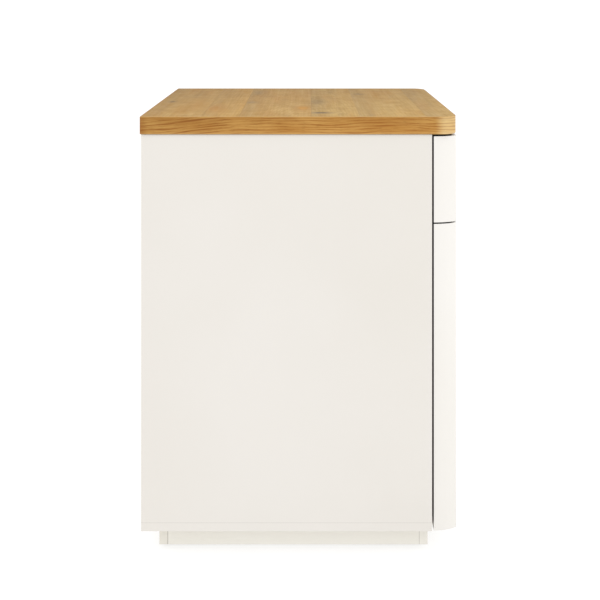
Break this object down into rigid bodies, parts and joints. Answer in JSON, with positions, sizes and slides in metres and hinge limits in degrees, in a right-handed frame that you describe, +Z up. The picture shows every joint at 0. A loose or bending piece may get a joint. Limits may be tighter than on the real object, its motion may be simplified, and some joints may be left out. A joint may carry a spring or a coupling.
{
  "type": "rolling pedestal cabinet",
  "caption": "Under-desk pedestal with an oak top, a shallow drawer over a deep file drawer, curved push-to-open fronts and hidden castors in the plinth.",
  "frame": {"origin": "centre of the footprint, on the floor", "axes": "+Z up, -Y towards the drawer fronts, -X the left side seen from the front"},
  "size_m": [0.4, 0.45, 0.623],
  "materials": {
    "oak": "oiled, planks across the width, grain from side to side",
    "oak_edge": "oiled edge band, long grain round the edge",
    "white_board": "warm white satin lacquer on board",
    "white_front": "warm white satin lacquer on shaped board",
    "plinth_white": "warm white satin lacquer on board",
    "birch": "clear-lacquered birch plywood",
    "beech": "fluted beech",
    "zinc_screws": "bright zinc plate",
    "zinc_steel": "zinc-plated pressed steel",
    "cage_steel": "plain steel cage and balls, greased",
    "axle_steel": "ground steel pin",
    "grey_plastic": "moulded, fine texture",
    "black_plastic": "moulded, fine texture",
    "wheel_nylon": "moulded, scuffed tread"
  },
  "bodies": {
    "cabinet": {"top_panel": "oak", "top_edge_band": "oak_edge", "side_panel_left": "white_board", "side_panel_right": "white_board", "bottom_panel": "white_board", "back_panel": "white_board", "top_rail_front": "birch", "top_rail_rear": "birch", "plinth_front": "plinth_white", "plinth_rear": "plinth_white", "plinth_left": "plinth_white", "plinth_right": "plinth_white", "carcass_dowels": "beech", "carcass_screws": "zinc_screws", "upper_slide_outer": "zinc_steel", "file_slide_outer": "zinc_steel", "hardware_screws": "zinc_screws", "upper_latch_housing": "grey_plastic", "file_latch_housing": "grey_plastic", "castor_plates": "zinc_steel"},
    "upper_latch": {"upper_latch_plunger": "black_plastic"},
    "upper_drawer": {"upper_front": "white_front", "upper_box_left": "birch", "upper_box_right": "birch", "upper_box_front": "birch", "upper_box_back": "birch", "upper_box_bottom": "birch", "upper_slide_inner": "zinc_steel", "upper_strike_plate": "zinc_steel", "upper_drawer_screws": "zinc_screws"},
    "upper_slide_middle": {"upper_slide_middle": "zinc_steel"},
    "upper_cage_outer": {"upper_cage_outer": "cage_steel"},
    "upper_cage_inner": {"upper_cage_inner": "cage_steel"},
    "file_latch": {"file_latch_plunger": "black_plastic"},
    "file_drawer": {"file_front": "white_front", "file_box_left": "birch", "file_box_right": "birch", "file_box_front": "birch", "file_box_back": "birch", "file_box_bottom": "birch", "file_slide_inner": "zinc_steel", "file_strike_plate": "zinc_steel", "file_drawer_screws": "zinc_screws", "hanging_rails": "zinc_steel"},
    "file_slide_middle": {"file_slide_middle": "zinc_steel"},
    "file_cage_outer": {"file_cage_outer": "cage_steel"},
    "file_cage_inner": {"file_cage_inner": "cage_steel"},
    "castor_front_left": {"castor_fork_front_left": "black_plastic", "castor_axle_front_left": "axle_steel"},
    "wheels_front_left": {"castor_wheels_front_left": "wheel_nylon"},
    "castor_front_right": {"castor_fork_front_right": "black_plastic", "castor_axle_front_right": "axle_steel"},
    "wheels_front_right": {"castor_wheels_front_right": "wheel_nylon"},
    "castor_rear_left": {"castor_fork_rear_left": "black_plastic", "castor_axle_rear_left": "axle_steel"},
    "wheels_rear_left": {"castor_wheels_rear_left": "wheel_nylon"},
    "castor_rear_right": {"castor_fork_rear_right": "black_plastic", "castor_axle_rear_right": "axle_steel"},
    "wheels_rear_right": {"castor_wheels_rear_right": "wheel_nylon"}
  },
  "joints": [
    {"name": "upper_latch_stroke", "type": "slide", "parent": "cabinet", "child": "upper_latch", "axis": [0, -1, 0], "range_m": [-0.002, 0.012]},
    {"name": "upper_drawer_pull", "type": "slide", "parent": "upper_latch", "child": "upper_drawer", "axis": [0, -1, 0], "range_m": [0, 0.34]},
    {"name": "upper_slide_middle_run", "type": "slide", "parent": "cabinet", "child": "upper_slide_middle", "axis": [0, -1, 0], "range_m": [0, 0.17]},
    {"name": "upper_cage_outer_run", "type": "slide", "parent": "cabinet", "child": "upper_cage_outer", "axis": [0, -1, 0], "range_m": [0, 0.085]},
    {"name": "upper_cage_inner_run", "type": "slide", "parent": "cabinet", "child": "upper_cage_inner", "axis": [0, -1, 0], "range_m": [0, 0.255]},
    {"name": "file_latch_stroke", "type": "slide", "parent": "cabinet", "child": "file_latch", "axis": [0, -1, 0], "range_m": [-0.002, 0.012]},
    {"name": "file_drawer_pull", "type": "slide", "parent": "file_latch", "child": "file_drawer", "axis": [0, -1, 0], "range_m": [0, 0.34]},
    {"name": "file_slide_middle_run", "type": "slide", "parent": "cabinet", "child": "file_slide_middle", "axis": [0, -1, 0], "range_m": [0, 0.17]},
    {"name": "file_cage_outer_run", "type": "slide", "parent": "cabinet", "child": "file_cage_outer", "axis": [0, -1, 0], "range_m": [0, 0.085]},
    {"name": "file_cage_inner_run", "type": "slide", "parent": "cabinet", "child": "file_cage_inner", "axis": [0, -1, 0], "range_m": [0, 0.255]},
    {"name": "castor_swivel_front_left", "type": "hinge", "parent": "cabinet", "child": "castor_front_left", "pos_m": [-0.1275, -0.1374, 0.03], "axis": [0, 0, 1], "continuous": true},
    {"name": "castor_roll_front_left", "type": "hinge", "parent": "castor_front_left", "child": "wheels_front_left", "pos_m": [-0.1275, -0.1254, 0.0125], "axis": [1, 0, 0], "continuous": true},
    {"name": "castor_swivel_front_right", "type": "hinge", "parent": "cabinet", "child": "castor_front_right", "pos_m": [0.1275, -0.1374, 0.03], "axis": [0, 0, 1], "continuous": true},
    {"name": "castor_roll_front_right", "type": "hinge", "parent": "castor_front_right", "child": "wheels_front_right", "pos_m": [0.1275, -0.1254, 0.0125], "axis": [1, 0, 0], "continuous": true},
    {"name": "castor_swivel_rear_left", "type": "hinge", "parent": "cabinet", "child": "castor_rear_left", "pos_m": [-0.1275, 0.1525, 0.03], "axis": [0, 0, 1], "continuous": true},
    {"name": "castor_roll_rear_left", "type": "hinge", "parent": "castor_rear_left", "child": "wheels_rear_left", "pos_m": [-0.1275, 0.1645, 0.0125], "axis": [1, 0, 0], "continuous": true},
    {"name": "castor_swivel_rear_right", "type": "hinge", "parent": "cabinet", "child": "castor_rear_right", "pos_m": [0.1275, 0.1525, 0.03], "axis": [0, 0, 1], "continuous": true},
    {"name": "castor_roll_rear_right", "type": "hinge", "parent": "castor_rear_right", "child": "wheels_rear_right", "pos_m": [0.1275, 0.1645, 0.0125], "axis": [1, 0, 0], "continuous": true}
  ],
  "couplings": [
    {"joint": "upper_slide_middle_run", "follows": "upper_drawer_pull", "ratio": 0.5},
    {"joint": "upper_cage_outer_run", "follows": "upper_drawer_pull", "ratio": 0.25},
    {"joint": "upper_cage_inner_run", "follows": "upper_drawer_pull", "ratio": 0.75},
    {"joint": "file_slide_middle_run", "follows": "file_drawer_pull", "ratio": 0.5},
    {"joint": "file_cage_outer_run", "follows": "file_drawer_pull", "ratio": 0.25},
    {"joint": "file_cage_inner_run", "follows": "file_drawer_pull", "ratio": 0.75}
  ]
}
